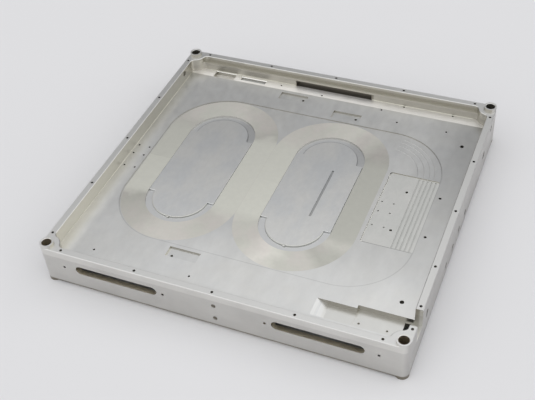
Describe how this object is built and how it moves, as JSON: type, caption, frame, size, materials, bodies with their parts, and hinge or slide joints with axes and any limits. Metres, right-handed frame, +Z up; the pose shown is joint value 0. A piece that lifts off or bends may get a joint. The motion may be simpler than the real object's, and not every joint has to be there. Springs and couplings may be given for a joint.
{
  "type": "liquid cooling cold plate",
  "caption": "Flat machined aluminium tray with corner posts, race-track coolant channels under welded covers, and inlaid heat spreader plates.",
  "frame": {"origin": "middle of the plate's bounding box, at the height of the posts' feet", "axes": "+X along the slotted front wall towards the coolant ports, +Y from the front wall to the back wall, +Z up out of the tray"},
  "size_m": [0.44, 0.417, 0.057],
  "materials": {
    "tray_aluminium": "milled",
    "cover_aluminium": "milled, with sweeping tool marks",
    "spreader_aluminium": "fine milled",
    "pad_aluminium": "fine milled"
  },
  "bodies": {
    "root": {"base_tray": "tray_aluminium", "left_channel_cover": "cover_aluminium", "right_channel_cover": "cover_aluminium", "left_spreader": "spreader_aluminium", "right_spreader": "spreader_aluminium", "grooved_pad": "pad_aluminium"}
  },
  "joints": []
}
